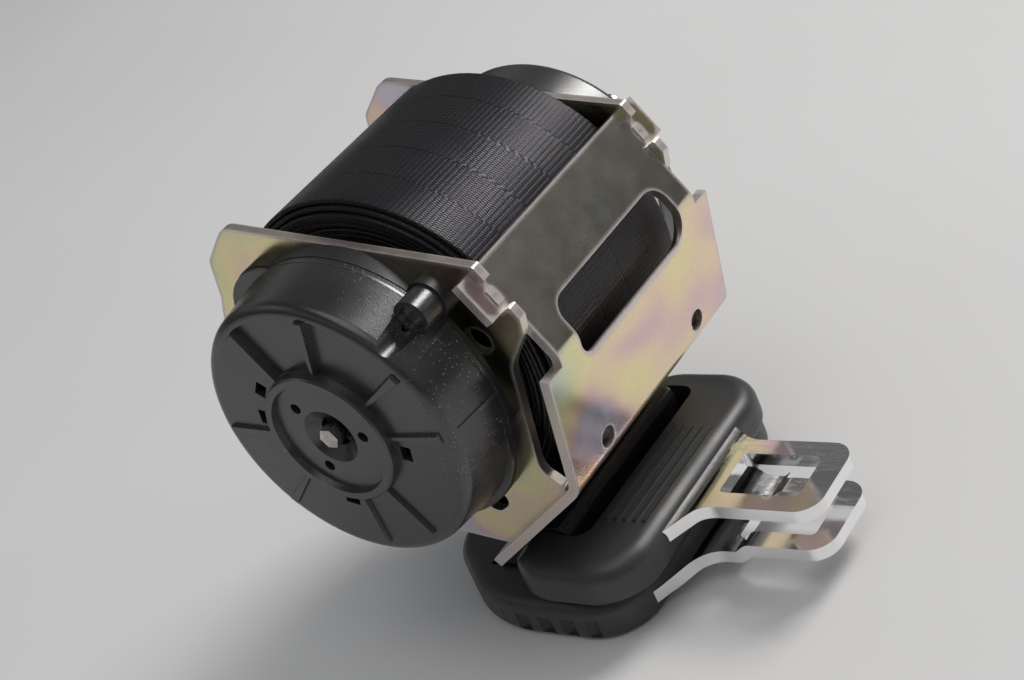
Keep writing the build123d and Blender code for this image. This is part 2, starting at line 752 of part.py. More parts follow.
# Inertia wheel with catch teeth, free to lag on the shaft's stub
with BuildPart() as inertia_wheel:
    with BuildSketch(Plane.YZ.offset(inertia_start)):
        Circle(inertia_radius)
        for tooth in range(inertia_teeth):
            first = tooth * 360 / inertia_teeth
            outline([
                polar(inertia_radius - 1.3, first + 2), polar(inertia_radius + 1, first),
                polar(inertia_radius + 1, first + 9), polar(inertia_radius - 1.3, first + 8),
            ], Mode.SUBTRACT)
        with PolarLocations((stub_radius + inertia_radius) / 2, 4):
            Circle(inertia_radius / 6, mode=Mode.SUBTRACT)
        Circle(stub_radius + run_gap, mode=Mode.SUBTRACT)
    extrude(amount=inertia_thick)
parts["inertia_wheel"] = inertia_wheel.part

with BuildPart() as lock_cover:
    with BuildSketch(Plane.XY):
        with BuildLine():
            FilletPolyline(
                (lock_web_end, housing_radius), (far_face, housing_radius), (far_face, 0),
                (far_face - housing_wall, 0), (far_face - housing_wall, housing_radius - housing_wall),
                (lock_web_end, housing_radius - housing_wall),
                radius=(0, far_cover_edge, 0, 0, 0, 0), close=True,
            )
        make_face()
    revolve(axis=Axis.X)
    with BuildSketch(Plane.YZ.offset(lock_web_end)):
        for angle in lock_screw_angles:
            with Locations(polar(screw_circle, angle)):
                Circle(screw_radius + lock_boss_wall)
    extrude(amount=far_cover_depth)
    with BuildSketch(Plane.YZ.offset(lock_web_end)):
        for angle in lock_screw_angles:
            with Locations(polar(screw_circle, angle)):
                Circle(screw_radius)
    extrude(amount=20, mode=Mode.SUBTRACT)
parts["lock_cover"] = lock_cover.part

with BuildPart() as lock_cover_screws:
    with BuildSketch(Plane.YZ.offset(plate_out)):
        for angle in lock_screw_angles:
            with Locations(polar(screw_circle, angle)):
                Circle(screw_radius)
    extrude(amount=far_face - plate_out)
    with BuildSketch(Plane.YZ.offset(far_face)):
        for angle in lock_screw_angles:
            with Locations(polar(screw_circle, angle)):
                Circle(screw_radius + lock_head_rim)
    extrude(amount=lock_head_height)
parts["lock_cover_screws"] = lock_cover_screws.part

# Webbing from the roll, round the lip's end and through the sliding tongue's slot
strap_radius = roll_radius + web_thick / 2
strap_gap = free_gap + web_thick / 2
lip_end = on_lip(lip_length, -sheet / 2)
lip_reach = sheet / 2 + strap_gap
leave = degrees(atan2(lip_end[1], lip_end[0]))
leave -= degrees(acos((lip_reach - strap_radius) / hypot(*lip_end)))
roll_point = polar(-strap_radius, leave)
lip_turn = 270 + leave + degrees(lip_drop)
corner_step = polar(lip_reach / cos(radians(lip_turn / 2)), 180 + leave - lip_turn / 2)
lip_corner = (lip_end[0] + corner_step[0], lip_end[1] + corner_step[1])
strap_top = grip_top + run_gap + web_thick / 2
merge = on_lip((on_lip(0, strap_gap)[1] - strap_top) / sin(lip_drop), strap_gap)
bar_y = slot_back - run_gap - web_thick / 2
grip_bottom = end_grip_top + web_thick + 2 * run_gap
slot_middle = (grip_top + grip_bottom) / 2
tail_z = end_grip_top + run_gap + web_thick / 2
bar_corner = strap_bend - web_thick / 2 - run_gap


def strap(corners, radii):
    """Return a flat strap that follows a (y, z) path of runs and arcs."""
    with BuildPart() as band:
        with BuildSketch(Plane.YZ.offset(-web_width / 2)):
            with BuildLine():
                FilletPolyline(*corners, radius=radii)
            trace(line_width=web_thick)
        extrude(amount=web_width)
    return band.part


parts["webbing_lead"] = strap(
    [roll_point, lip_corner, merge, (bar_y, strap_top), (bar_y, slot_middle)],
    [lip_reach, 0.9, strap_bend],
)
parts["webbing_tail"] = strap(
    [(bar_y, slot_middle), (bar_y, tail_z), (end_slot_y, tail_z),
     (end_slot_y, end_grip_bottom + end_slot_floor)],
    [strap_bend, strap_bend],
)

# Sliding tongue: a cranked plate with the latch window, moulded into its grip
grip_near = grip_shift - grip_length / 2
grip_far = grip_shift + grip_length / 2
grip_slope = strap_gap + web_thick / 2 + run_gap
grip_back = on_lip(lip_length - 0.6, grip_slope)
grip_rear = grip_back[0] + 1.2
crank_z = slot_middle + 0.3
half_blade = blade_width / 2
blade_near = blade_shift - half_blade
blade_far = blade_shift + half_blade
shoulder_near = blade_shift - shoulder_width / 2
shoulder_far = blade_shift + shoulder_width / 2
plate_half = end_grip_length / 2 - 6
plate_back = grip_back[0] - 2.6


def tongue_plate(path, plan, plan_radii, path_radii, window_y, slot_y, slot_depth):
    """Return a tongue plate from its side path and its plan outline."""
    with BuildPart() as plate:
        with BuildSketch(Plane.YZ.offset(-plate_half)):
            with BuildLine():
                FilletPolyline(*path, radius=path_radii)
            trace(line_width=plate_thick)
        extrude(amount=2 * plate_half)
        with BuildSketch(Plane.XY.offset(end_grip_bottom)):
            with BuildLine():
                FilletPolyline(*plan, radius=plan_radii, close=True)
            make_face()
            with Locations((blade_shift, window_y)):
                RectangleRounded(*latch_window, latch_window_corner, mode=Mode.SUBTRACT)
            with Locations((slot_shift if slot_y < 0 else 0, slot_y)):
                RectangleRounded(slot_length + 2.4, slot_depth, latch_window_corner, mode=Mode.SUBTRACT)
        extrude(amount=grip_top - end_grip_bottom + plate_thick, mode=Mode.INTERSECT)
    return plate.part


parts["sliding_tongue_plate"] = tongue_plate(
    [(blade_tip, grip_top - plate_thick / 2), (grip_front - crank_start, grip_top - plate_thick / 2),
     (grip_front + crank_end, crank_z), (plate_back, crank_z)],
    [(blade_near, blade_tip), (blade_far, blade_tip), (blade_far, grip_front - flare_start),
     (shoulder_far, grip_front + flare_end), (grip_far - grip_cover, grip_front + wing_start),
     (grip_far - grip_cover, plate_back), (grip_near + grip_cover, plate_back),
     (grip_near + grip_cover, grip_front + wing_start), (shoulder_near, grip_front + flare_end),
     (blade_near, grip_front - flare_start)],
    [blade_corner, blade_corner, 7.0, 3.0, 2.0, 1.5, 1.5, 2.0, 3.0, 7.0],
    [6.0, 6.0], latch_window_y, (slot_front + slot_back) / 2, slot_back - slot_front + 2.4,
)

with BuildPart() as sliding_tongue_grip:
    with BuildSketch(Plane.XY.offset(grip_bottom)):
        with BuildLine():
            FilletPolyline(
                (grip_near, grip_front), (grip_far, grip_front),
                (grip_far, grip_rear), (grip_near, grip_rear),
                radius=grip_plan_corner, close=True,
            )
        make_face()
    extrude(amount=grip_top - grip_bottom)
    fillet(faces().sort_by(Axis.Z)[-1].edges(), grip_top_edge)
    fillet(faces().sort_by(Axis.Z)[0].edges(), grip_bottom_edge)
    with BuildSketch(Plane.XY.offset(grip_top - grip_rib_height)):
        for rib_number in range(grip_rib_count):
            with Locations((grip_shift - 2.0, slot_front - 1.8 - rib_number * rib_pitch)):
                Rectangle(*grip_rib)
    extrude(amount=2 * grip_rib_height, taper=12)
    # The top slopes away under the lip and the webbing on it
    with BuildSketch(Plane.YZ.offset(grip_near)):
        outline([on_lip(0, grip_slope), on_lip(2 * lip_length, grip_slope),
                 on_lip(2 * lip_length, -grip_slope), on_lip(0, -grip_slope)])
    extrude(amount=grip_length, mode=Mode.SUBTRACT)
    # Slot for the webbing, its rear bar rounded above and below
    with BuildSketch(Plane.XY.offset(grip_bottom)):
        with BuildLine():
            FilletPolyline(
                (slot_shift - slot_length / 2, slot_front), (slot_shift + slot_length / 2, slot_front),
                (slot_shift + slot_length / 2, slot_back), (slot_shift - slot_length / 2, slot_back),
                radius=(slot_corner, slot_corner, 0, 0), close=True,
            )
        make_face()
    extrude(amount=grip_top - grip_bottom, mode=Mode.SUBTRACT)
    with BuildSketch(Plane.YZ.offset(slot_shift - slot_length / 2)):
        with Locations((slot_back + bar_corner / 2, slot_middle)):
            Rectangle(bar_corner, grip_top - grip_bottom)
        with BuildLine():
            FilletPolyline(
                (slot_back, grip_top), (slot_back + 2 * bar_corner, grip_top),
                (slot_back + 2 * bar_corner, grip_bottom), (slot_back, grip_bottom),
                radius=(bar_corner, 0, 0, bar_corner), close=True,
            )
        make_face(mode=Mode.SUBTRACT)
    extrude(amount=slot_length, mode=Mode.SUBTRACT)
    add(parts["sliding_tongue_plate"], mode=Mode.SUBTRACT)
parts["sliding_tongue_grip"] = sliding_tongue_grip.part

# End tongue: its plate steps down into a two-part grip that holds the webbing's end
end_plate_z = end_grip_parting - plate_thick / 2
end_blade_z = end_grip_top - 0.6
end_plate_back = end_slot_y + 5.5
end_tip = blade_tip + 0.4
parts["end_tongue_plate"] = tongue_plate(
    [(end_tip, end_blade_z), (end_step_y - 1.2, end_blade_z), (end_step_y + 1.6, end_blade_z - end_step),
     (end_grip_front - 6.5, end_blade_z - end_step), (end_grip_front - 1.5, end_plate_z),
     (end_plate_back, end_plate_z)],
    [(blade_near, end_tip), (blade_far, end_tip), (blade_far, end_step_y), (blade_far + end_tab, end_step_y),
     (blade_far + end_tab, end_grip_front - 10.5), (shoulder_far, end_grip_front - 1.5),
     (plate_half, end_grip_front + 3.0), (plate_half, end_grip_side), (plate_half - 4.5, end_plate_back),
     (4.5 - plate_half, end_plate_back), (-plate_half, end_grip_side),
     (-plate_half, end_grip_front + 3.0), (shoulder_near, end_grip_front - 1.5),
     (blade_near, end_grip_front - 9.5)],
    [blade_corner, blade_corner, 0.8, 0.8, 5.0, 3.0, 2.0, 3.0, 1.5, 1.5, 3.0, 2.0, 3.0, 7.0],
    [2.0, 2.0, 5.0, 5.0], latch_window_y - 0.4, end_slot_y, 3.4,
)

end_near = end_grip_shift - end_grip_length / 2
end_far = end_grip_shift + end_grip_length / 2


def end_grip(height):
    """Start a half of the end tongue's grip on the parting plane."""
    with BuildPart() as half:
        with BuildSketch(Plane.XY.offset(end_grip_parting)):
            with BuildLine():
                FilletPolyline(
                    (end_near, end_grip_front), (end_far, end_grip_front), (end_far, end_grip_side),
                    (end_far - end_grip_taper, end_grip_back), (end_near + end_grip_taper, end_grip_back),
                    (end_near, end_grip_side), radius=end_plan_radii, close=True,
                )
            make_face()
        extrude(amount=height)
    return half.part


with BuildPart() as end_grip_upper:
    add(end_grip(end_grip_top - end_grip_parting))
    fillet(faces().sort_by(Axis.Z)[-1].edges(), end_top_edge)
    with BuildSketch(Plane.YZ.offset(-web_width / 2 - run_gap)):
        slot_start = end_slot_y - web_thick / 2 - run_gap
        outline([
            (slot_start - bar_corner, end_grip_top), (end_slot_y + web_thick, end_grip_top),
            (end_slot_y + web_thick, end_grip_parting), (slot_start - bar_corner, end_grip_parting),
        ])
        with BuildLine():
            FilletPolyline(
                (slot_start, end_grip_top), (slot_start - 2 * bar_corner, end_grip_top),
                (slot_start - 2 * bar_corner, end_grip_parting), (slot_start, end_grip_parting),
                radius=(bar_corner, 0, 0, 0), close=True,
            )
        make_face(mode=Mode.SUBTRACT)
    extrude(amount=web_width + 2 * run_gap, mode=Mode.SUBTRACT)
    add(parts["end_tongue_plate"], mode=Mode.SUBTRACT)
parts["end_grip_upper"] = end_grip_upper.part

with BuildPart() as end_grip_lower:
    add(end_grip(end_grip_bottom - end_grip_parting))
    fillet(faces().sort_by(Axis.Z)[0].edges(), end_bottom_edge)
    with BuildSketch(Plane.XY.offset(end_grip_parting)):
        for notch in range(notch_count):
            with Locations((end_near - 0.7, notch_start - notch * notch_pitch)):
                Circle(notch_radius)
    extrude(amount=-notch_depth, mode=Mode.SUBTRACT)
    with BuildSketch(Plane.XY.offset(end_grip_parting)):
        with Locations((0, end_slot_y)):
            Rectangle(web_width + 2 * run_gap, web_thick + 2 * run_gap)
    extrude(amount=end_grip_bottom + end_slot_floor - run_gap - end_grip_parting, mode=Mode.SUBTRACT)
    add(parts["end_tongue_plate"], mode=Mode.SUBTRACT)
parts["end_grip_lower"] = end_grip_lower.part

# Stand the parts on z = 0 with the bounding box centred over the origin
boxes = [part.bounding_box() for part in parts.values()]
low = [min(getattr(box.min, axis) for box in boxes) for axis in "XYZ"]
high = [max(getattr(box.max, axis) for box in boxes) for axis in "XYZ"]
stand = Location((-(low[0] + high[0]) / 2, -(low[1] + high[1]) / 2, -low[2]))
os.makedirs("parts", exist_ok=True)
for name, part in parts.items():
    part.label = name
    part.locate(stand * part.location)
    export_step(part, f"parts/{name}.step")
    print(name, len(part.solids()), round(part.volume, 1), part.is_valid)
print("spool axis", stand.position)
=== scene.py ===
# %% [markdown]
# # A seat belt retractor with two tongues
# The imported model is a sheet-steel frame with a sprung spool, two side housings and two
# tongues. Its rigid solids are good as they are. This lesson gives them finishes and makes
# the webbing again as real woven strap, because cloth shows what a plain solid can't.

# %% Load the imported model
import json
import math

import bpy
import numpy as np
from mathutils import Matrix, Vector


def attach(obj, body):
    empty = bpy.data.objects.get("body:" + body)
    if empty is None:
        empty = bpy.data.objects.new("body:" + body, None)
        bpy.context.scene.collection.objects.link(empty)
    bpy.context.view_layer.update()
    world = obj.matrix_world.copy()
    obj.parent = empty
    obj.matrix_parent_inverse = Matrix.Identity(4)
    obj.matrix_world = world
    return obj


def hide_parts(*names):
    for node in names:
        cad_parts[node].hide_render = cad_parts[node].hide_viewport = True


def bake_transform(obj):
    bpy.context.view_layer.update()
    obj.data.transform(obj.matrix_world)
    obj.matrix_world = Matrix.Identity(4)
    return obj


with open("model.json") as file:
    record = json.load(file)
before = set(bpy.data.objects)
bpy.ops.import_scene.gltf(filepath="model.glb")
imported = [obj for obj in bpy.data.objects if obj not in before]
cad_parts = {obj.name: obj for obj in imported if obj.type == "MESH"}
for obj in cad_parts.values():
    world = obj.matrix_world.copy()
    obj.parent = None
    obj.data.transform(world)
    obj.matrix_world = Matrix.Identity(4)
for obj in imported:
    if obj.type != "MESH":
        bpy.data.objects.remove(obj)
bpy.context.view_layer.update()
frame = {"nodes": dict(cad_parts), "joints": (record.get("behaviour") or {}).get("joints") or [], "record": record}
spool_spin = next(joint for joint in frame["joints"] if joint["name"] == "spool_spin")
spool_axis = np.array(spool_spin["pos_m"])

# %% [markdown]
# ## The camera
# The photograph looks down on the spool's near end from the left. A camera is a place and
# three directions: its right, its up and its back. They could be set by turning a camera by
# eye. They are given as numbers here, measured from the frame's folds, so that every edge
# falls where it does in the photograph.

# %% Camera
camera_place = spool_axis + (-0.2402, -0.2516, 0.1659)
camera_right = (0.5081, -0.7743, -0.3773)
camera_up = (0.5959, -0.0002, 0.8030)
camera_back = (-0.6219, -0.6329, 0.4613)

camera = bpy.data.objects.new("camera", bpy.data.cameras.new("camera"))
bpy.context.scene.collection.objects.link(camera)
turn = Matrix((camera_right, camera_up, camera_back)).transposed().to_4x4()
camera.matrix_world = Matrix.Translation(camera_place) @ turn
camera.data.sensor_width = 36.0
camera.data.lens = 66.34
camera.data.clip_start = 0.01
bpy.context.scene.camera = camera
print("camera at", tuple(round(value, 4) for value in camera.location))

# %% [markdown]
# ## A helper for materials
# A material is a small network of nodes. One helper adds a node, sets its options and fills
# its inputs, with a number where the value is fixed and with another node's output where it
# changes over the surface. It keeps each finish short enough to read at a glance.

# %% Node helper
def add_node(tree, kind, inputs=(), **options):
    """Add one shader node, set its options, and fill its inputs from numbers or outputs."""
    made = tree.nodes.new("ShaderNode" + kind)
    for option, value in options.items():
        setattr(made, option, value)
    for place, value in dict(inputs).items():
        if isinstance(value, bpy.types.NodeSocket):
            tree.links.new(value, made.inputs[place])
        else:
            made.inputs[place].default_value = value
    return made


def maths(tree, operation, first, second=0.0):
    """Return the output of one Math node."""
    return add_node(tree, "Math", {0: first, 1: second}, operation=operation).outputs[0]


def blend_colours(tree, share, first, second):
    """Return a colour that goes from the first to the second as share goes from 0 to 1."""
    made = tree.nodes.new("ShaderNodeMix")
    made.data_type = "RGBA"
    for place, value in ((0, share), (6, first), (7, second)):
        if isinstance(value, bpy.types.NodeSocket):
            tree.links.new(value, made.inputs[place])
        else:
            made.inputs[place].default_value = value if place == 0 else (*value, 1.0)
    return made.outputs[2]


def colour_steps(tree, share, steps):
    """Return a colour read from a ramp of (place, colour) steps."""
    made = add_node(tree, "ValToRGB", {"Fac": share})
    ramp = made.color_ramp
    for number, (place, colour) in enumerate(steps):
        if number < 2:
            stop = ramp.elements[number]
        else:
            stop = ramp.elements.new(place)
        stop.position = place
        stop.color = (*colour, 1.0)
    return made.outputs["Color"]


def range_of(tree, value, low, high, new_low, new_high):
    """Return a value moved from one range to another and held inside it."""
    made = add_node(tree, "MapRange", {
        "Value": value, "From Min": low, "From Max": high, "To Min": new_low, "To Max": new_high,
    })
    return made.outputs["Result"]


def new_material(name, **fixed):
    """Return a new material's tree, its Principled BSDF, and the material."""
    made = bpy.data.materials.new(name)
    made.use_nodes = True
    shader = made.node_tree.nodes["Principled BSDF"]
    for socket, value in fixed.items():
        shader.inputs[socket.replace("_", " ")].default_value = value
    return made.node_tree, shader, made


def feed(tree, shader, **outputs):
    """Link each output to the shader's input of the same name."""
    for socket, output in outputs.items():
        tree.links.new(output, shader.inputs[socket.replace("_", " ")])


def bump(tree, height, distance):
    """Return a normal bent by a height, over a distance in metres."""
    made = add_node(tree, "Bump", {"Height": height, "Distance": distance, "Strength": 1.0})
    return made.outputs["Normal"]


print("node helpers ready")

# %% [markdown]
# ## Effects that several finishes share
# Dust lies on every black moulding, fine grain is on all of them, and both the plated steel
# and the mouldings are paler along their edges, partly as rubbing wear and partly as a painted
# highlight where a rounded edge would catch the light. Each effect could be drawn again in
# every material. As a node group it is built once, and each material gives it its own size
# and amount.

# %% Shared effects
def new_group(name, values, output):
    """Return a group's tree, its input sockets and a function that links the answer out."""
    tree = bpy.data.node_groups.new(name, "ShaderNodeTree")
    number = "NodeSocketFloat"
    for value_name, value in values.items():
        socket = tree.interface.new_socket(value_name, in_out="INPUT", socket_type=number)
        socket.default_value = value
    tree.interface.new_socket(output, in_out="OUTPUT", socket_type=number)
    entry = tree.nodes.new("NodeGroupInput")
    leave = tree.nodes.new("NodeGroupOutput")
    return tree, entry.outputs, lambda answer: tree.links.new(answer, leave.inputs[output])


def use_group(tree, group, output, **values):
    """Place a group in a material and return its output."""
    made = add_node(tree, "Group", node_tree=group)
    for value_name, value in values.items():
        made.inputs[value_name.replace("_", " ")].default_value = value
    return made.outputs[output]


def place_on_piece(tree):
    """Return the Object coordinates, which are metres in the model's own frame."""
    return add_node(tree, "TexCoord").outputs["Object"]


def noise(tree, scale, detail, vector=None, **more):
    """Return a noise value, laid over the piece unless another vector is given."""
    if vector is None:
        vector = place_on_piece(tree)
    inputs = {"Vector": vector, "Scale": scale, "Detail": detail, **more}
    return add_node(tree, "TexNoise", inputs).outputs["Fac"]


def cells_of(tree, scale):
    """Return a Voronoi texture's outputs, laid over the piece."""
    return add_node(tree, "TexVoronoi", {"Vector": place_on_piece(tree), "Scale": scale}).outputs


dust_group, given, answer = new_group("dust specks", {"Scale": 2200.0, "Amount": 0.5}, "Mask")
cells = cells_of(dust_group, given["Scale"])
drifted = range_of(dust_group, noise(dust_group, 45.0, 3.0), 0.46, 0.72, 0.02, 1.0)
drifted_amount = maths(dust_group, "MULTIPLY", drifted, given["Amount"])
speck_size = maths(dust_group, "MULTIPLY", drifted_amount, 0.5)
speck = maths(dust_group, "LESS_THAN", cells["Distance"], speck_size)
chosen_cells = maths(dust_group, "GREATER_THAN", cells["Color"], 0.62)
answer(maths(dust_group, "MULTIPLY", speck, chosen_cells))

grain_group, given, answer = new_group("moulded grain", {"Scale": 2500.0}, "Height")
fine = noise(grain_group, given["Scale"], 2.0)
pits = cells_of(grain_group, given["Scale"])["Distance"]
answer(maths(grain_group, "MULTIPLY_ADD", fine, pits))

# Paler edges: partly rubbing wear, partly a painted highlight where a rounded edge catches light.
edge_wear_and_highlight_group, given, answer = new_group("rubbed edges and painted highlight", {"Radius": 0.0006}, "Mask")
rounded = add_node(edge_wear_and_highlight_group, "Bevel", {"Radius": given["Radius"]}, samples=6)
flat = add_node(edge_wear_and_highlight_group, "NewGeometry")
normals = {0: rounded.outputs["Normal"], 1: flat.outputs["Normal"]}
agree = add_node(edge_wear_and_highlight_group, "VectorMath", normals, operation="DOT_PRODUCT")
edge = range_of(edge_wear_and_highlight_group, agree.outputs["Value"], 0.99, 0.85, 0.0, 1.0)
patchy_along_edge = range_of(edge_wear_and_highlight_group, noise(edge_wear_and_highlight_group, 350.0, 4.0), 0.35, 0.6, 0.25, 1.0)
answer(maths(edge_wear_and_highlight_group, "MULTIPLY", edge, patchy_along_edge))

scratch_group, given, answer = new_group("fine scratches", {"Scale": 90.0}, "Mask")
lengthened = {0: place_on_piece(scratch_group), 1: (1.0, 0.12, 0.55)}
stretched = add_node(scratch_group, "VectorMath", lengthened, operation="MULTIPLY")
strokes = noise(scratch_group, given["Scale"], 6.0, stretched.outputs["Vector"], Roughness=0.75)
off_middle = maths(scratch_group, "ABSOLUTE", maths(scratch_group, "SUBTRACT", strokes, 0.5))
line = range_of(scratch_group, off_middle, 0.0, 0.012, 1.0, 0.0)
scratched_here = range_of(scratch_group, noise(scratch_group, 25.0, 1.0), 0.45, 0.6, 0.0, 1.0)
answer(maths(scratch_group, "MULTIPLY", line, scratched_here))
print("groups", [group.name for group in bpy.data.node_groups])

# %% [markdown]
# ## Yellow passivated zinc
# The frame's plates and bracket are zinc plated and then dipped, which leaves a thin film.
# The film's thickness wanders, so the metal shifts between straw, pink, green and a cold
# violet. A single yellow would look painted. A slow noise picks the tint from a ramp, and
# finer ones speckle the colour and cloud the polish. The bridge over the roll is duller. The
# sheared edges are paler and rougher, and the corners and edges go to bare bright zinc,
# partly as rubbing wear and partly as a painted highlight.

# %% Zinc finish
bridge_half_width = 0.0268
bridge_fold_low, bridge_fold_high = 0.0655, 0.0675

tree, shader, zinc = new_material("yellow_zinc", Metallic=1.0)
film = noise(tree, 30.0, 1.0, Distortion=0.8)
tint = colour_steps(tree, range_of(tree, film, 0.34, 0.66, 0.0, 1.0), [
    (0.0, (0.64, 0.60, 0.72)), (1.0, (0.66, 0.72, 0.60)), (0.16, (0.76, 0.55, 0.56)),
    (0.34, (0.87, 0.68, 0.50)), (0.58, (0.88, 0.77, 0.43)), (0.82, (0.74, 0.75, 0.46)),
])
speckle = noise(tree, 2600.0, 3.0, Roughness=0.7)
cloud = noise(tree, 160.0, 4.0, Roughness=0.6)
places = add_node(tree, "SeparateXYZ", {"Vector": place_on_piece(tree)}).outputs
off_middle = maths(tree, "ABSOLUTE", maths(tree, "SUBTRACT", places["X"], spool_axis[0]))
between_plates = maths(tree, "LESS_THAN", off_middle, bridge_half_width)
above_fold = range_of(tree, places["Z"], bridge_fold_low, bridge_fold_high, 0.0, 1.0)
dull = maths(tree, "MULTIPLY", between_plates, above_fold)
faded = blend_colours(tree, maths(tree, "MULTIPLY", dull, 0.8), tint, (0.62, 0.61, 0.58))
shade = range_of(tree, speckle, 0.36, 0.60, 0.22, 0.0)
speckled = blend_colours(tree, shade, faded, (0.38, 0.36, 0.31))
depth = add_node(
    tree, "AmbientOcclusion", {"Distance": 0.0019}, inside=True, only_local=True, samples=8)
sheared = range_of(tree, depth.outputs["AO"], 0.72, 0.60, 0.0, 1.0)
cut_edge = blend_colours(tree, sheared, speckled, (0.72, 0.66, 0.64))
scratched = use_group(tree, scratch_group, "Mask", Scale=120.0)
# Edge mask: partly rubbed bare zinc, partly a painted highlight along the edges.
rubbed_or_highlit_edge = use_group(tree, edge_wear_and_highlight_group, "Mask", Radius=0.00035)
bare_or_highlit = maths(tree, "MAXIMUM", rubbed_or_highlit_edge, maths(tree, "MULTIPLY", scratched, 0.3))
polish = range_of(tree, cloud, 0.3, 0.7, 0.19, 0.27)
feed(tree, shader,
     Base_Color=blend_colours(tree, bare_or_highlit, cut_edge, (0.78, 0.77, 0.74)),
     Roughness=maths(tree, "ADD", polish, maths(tree, "MULTIPLY", sheared, 0.25)),
     Normal=bump(tree, speckle, 0.000004))
print("made", zinc.name)

# %% [markdown]
# ## Bright steel and chrome
# The shaft, pins, screws and ratchet are turned or ground steel, and the two tongue plates
# are chromed after stamping. Chrome could be a plain mirror, but a used tongue is covered in
# hairline scratches that catch the light. Both finishes read the same scratch group, with
# soft brushing on the steel and thin bright lines on the chrome.

# %% Steel and chrome finishes
tree, shader, steel = new_material("bright_steel", Metallic=1.0)
brushed = use_group(tree, scratch_group, "Mask", Scale=400.0)
tarnish = noise(tree, 220.0, 4.0)
tarnished = range_of(tree, tarnish, 0.4, 0.75, 0.0, 1.0)
feed(tree, shader,
     Base_Color=blend_colours(tree, tarnished, (0.62, 0.62, 0.63), (0.42, 0.39, 0.35)),
     Roughness=range_of(tree, tarnish, 0.3, 0.7, 0.22, 0.42),
     Normal=bump(tree, brushed, 0.000008))

tree, shader, chrome = new_material("bright_chrome", Metallic=1.0)
hairlines = use_group(tree, scratch_group, "Mask", Scale=260.0)
smeared = range_of(tree, noise(tree, 130.0, 4.0), 0.35, 0.7, 0.06, 0.16)
half_lines = maths(tree, "MULTIPLY", hairlines, 0.5)
feed(tree, shader,
     Base_Color=blend_colours(tree, half_lines, (0.94, 0.94, 0.95), (0.70, 0.70, 0.71)),
     Roughness=maths(tree, "ADD", smeared, maths(tree, "MULTIPLY", hairlines, 0.2)),
     Normal=bump(tree, hairlines, 0.000006))
print("made", steel.name, chrome.name)

# %% [markdown]
# ## Black mouldings
# The covers are satin black nylon, the tongue grips a slightly softer black with a finer
# grain. Real black plastic is never one black: it is dusty, and its polish wanders. Its edges
# are paler, partly rubbed and partly a painted highlight. One function makes each from its
# own colour, grain and dust.

# %% Moulded plastics
def moulded(name, colour, roughness, grain, grain_depth, dust, wear_and_highlight_colour):
    """Return a plastic with grain, wandering polish, dust, and pale edges of wear and painted highlight."""
    tree, shader, made = new_material(name)
    polish = noise(tree, 70.0, 5.0, Roughness=0.6)
    rubbed_or_highlit_edge = use_group(tree, edge_wear_and_highlight_group, "Mask", Radius=0.0005)
    specks = use_group(tree, dust_group, "Mask", Scale=2000.0, Amount=dust)
    deep = tuple(value * 0.75 for value in colour)
    bright = tuple(value * 1.2 for value in colour)
    varied = blend_colours(tree, polish, deep, bright)
    # Paler edges: partly rubbing wear, partly a painted highlight.
    worn_or_highlit = blend_colours(tree, maths(tree, "MULTIPLY", rubbed_or_highlit_edge, 0.5), varied, wear_and_highlight_colour)
    low, high = roughness
    satin = range_of(tree, polish, 0.3, 0.7, low, high)
    feed(tree, shader,
         Base_Color=blend_colours(tree, specks, worn_or_highlit, (0.26, 0.255, 0.245)),
         Roughness=maths(tree, "ADD", satin, maths(tree, "MULTIPLY", specks, 0.3)),
         Normal=bump(tree, use_group(tree, grain_group, "Height", Scale=grain), grain_depth))
    return made


cover_black = moulded(
    "cover_black", (0.025, 0.0240, 0.0246), (0.24, 0.34), 2600.0, 0.00002, 0.55,
    (0.06, 0.06, 0.06))
inner_black = moulded(
    "inner_black", (0.014, 0.014, 0.014), (0.38, 0.52), 2200.0, 0.00003, 0.3,
    (0.05, 0.05, 0.05))
grip_black = moulded(
    "grip_black", (0.031, 0.0305, 0.0325), (0.36, 0.48), 3800.0, 0.00003, 0.25,
    (0.05, 0.05, 0.052))
acetal = moulded(
    "white_acetal", (0.72, 0.71, 0.66), (0.38, 0.50), 2200.0, 0.000015, 0.1,
    (0.78, 0.77, 0.73))
for glossy, level in ((cover_black, 1.0), (grip_black, 0.7)):
    glossy_shader = glossy.node_tree.nodes["Principled BSDF"]
    glossy_shader.inputs["Specular IOR Level"].default_value = level
print("made", cover_black.name, inner_black.name, grip_black.name, acetal.name)

# %% [markdown]
# ## Woven belt
# The belt is a close ribbed weave of black polyester, in five lengthwise panels with a seam
# between them. Thick ribs of weft cross it about every millimetre, and lean the other way in
# every second panel. The warp floats over them in a stagger, so the light breaks into short
# bright dashes; the colour is also darker where the weave lies low, a painted shade in its
# hollows. A picture could be wrapped on it, but a height worked out from the strap's
# own place, along and across, follows every turn of the roll. The attribute `belt_place`
# holds that place in millimetres.

# %% Webbing finish
belt_width = 47.0
weft_pitch, warp_pitch, panel_width = 1.1, 0.55, 9.4

